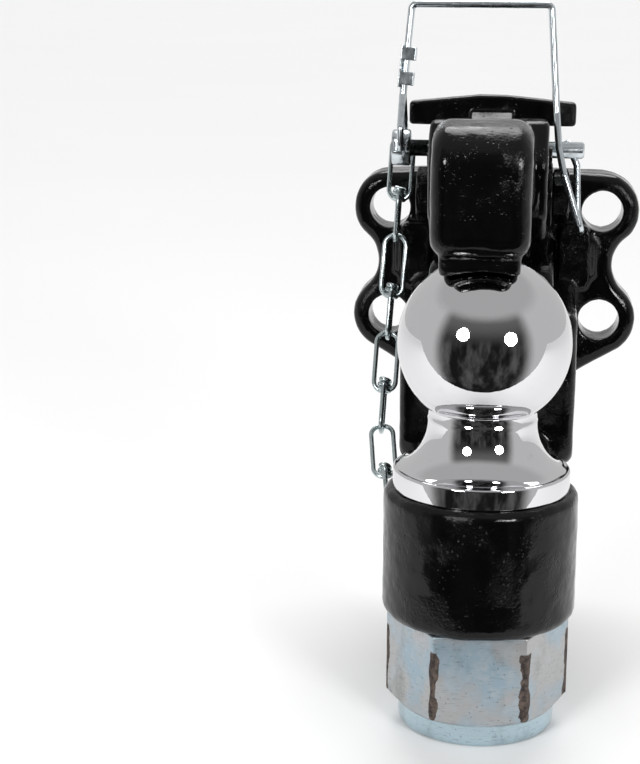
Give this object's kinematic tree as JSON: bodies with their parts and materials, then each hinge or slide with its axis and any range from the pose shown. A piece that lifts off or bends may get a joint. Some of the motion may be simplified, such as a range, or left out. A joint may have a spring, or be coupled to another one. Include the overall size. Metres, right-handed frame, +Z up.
{
  "type": "combination ball and pintle hitch",
  "caption": "Bolt-on towing hitch with a chromed tow ball, a hinged jaw that closes over a drawbar ring, and a bail lock pin on a chain.",
  "frame": {"origin": "centre of the four-bolt pattern on the rear mounting face", "axes": "+Y out of the mounting face towards the vehicle, +Z up along the ball, +X to the right seen from the trailer"},
  "size_m": [0.1154, 0.1857, 0.2448],
  "materials": {
    "black_enamel": "thick glossy black enamel over rough forging",
    "chrome_ball": "mirror chrome plate",
    "zinc_nut": "mottled blue-white zinc plate, dull at the rough corners",
    "nylon_ring": "natural nylon",
    "zinc_pin": "bright blue-white zinc plate",
    "zinc_wire": "bright blue-white zinc plate",
    "spring_steel": "oiled spring steel"
  },
  "bodies": {
    "hitch": {"hitch_body": "black_enamel", "tow_ball": "chrome_ball", "ball_nut": "zinc_nut", "nut_insert": "nylon_ring", "pivot_bolt": "black_enamel", "pivot_washer": "black_enamel", "pivot_nut": "black_enamel", "chain_eye": "zinc_wire"},
    "jaw": {"upper_jaw": "black_enamel", "latch_pin": "black_enamel", "latch_spring": "spring_steel"},
    "latch": {"latch_lever": "black_enamel"},
    "lock_pin": {"lock_pin": "zinc_pin"},
    "bail": {"wire_bail": "zinc_wire", "bail_clip": "zinc_wire"},
    "chain_1": {"chain_link_1": "zinc_wire"},
    "chain_2": {"chain_link_2": "zinc_wire"},
    "chain_3": {"chain_link_3": "zinc_wire"},
    "chain_4": {"chain_link_4": "zinc_wire"}
  },
  "joints": [
    {"name": "jaw_swing", "type": "hinge", "parent": "hitch", "child": "jaw", "pos_m": [0, -0.043, 0.031], "axis": [-1, 0, 0], "range_deg": [0, 40]},
    {"name": "latch_lift", "type": "hinge", "parent": "jaw", "child": "latch", "pos_m": [0, -0.061, 0.048], "axis": [1, 0, 0], "range_deg": [0, 12], "stiffness_Nm_per_rad": 0.25, "springref_deg": -11.46},
    {"name": "pin_turn", "type": "hinge", "parent": "jaw", "child": "lock_pin", "pos_m": [0, -0.047, 0.0495], "axis": [1, 0, 0], "range_deg": [0, 6]},
    {"name": "bail_swing", "type": "hinge", "parent": "lock_pin", "child": "bail", "pos_m": [-0.03645, -0.047, 0.0495], "axis": [0, -0.9986, 0.0523], "range_deg": [0, 120]},
    {"name": "chain_1_hang", "type": "hinge", "parent": "lock_pin", "child": "chain_1", "pos_m": [-0.03645, -0.0365, 0.0495], "axis": [1, 0, 0], "range_deg": [0, 24]},
    {"name": "chain_2_swing", "type": "hinge", "parent": "chain_1", "child": "chain_2", "pos_m": [-0.03895, -0.0365, 0.01136], "axis": [0, 1, 0], "range_deg": [0, 8]},
    {"name": "chain_3_swing", "type": "hinge", "parent": "chain_2", "child": "chain_3", "pos_m": [-0.04097, -0.04501, -0.02655], "axis": [0, 0.9781, -0.2079], "range_deg": [0, 8]},
    {"name": "chain_4_swing", "type": "hinge", "parent": "chain_3", "child": "chain_4", "pos_m": [-0.04157, -0.06507, -0.05995], "axis": [0, 0.866, -0.5], "range_deg": [0, 8]}
  ],
  "couplings": [
    {"joint": "chain_1_hang", "follows": "jaw_swing", "ratio": 0.6}
  ]
}
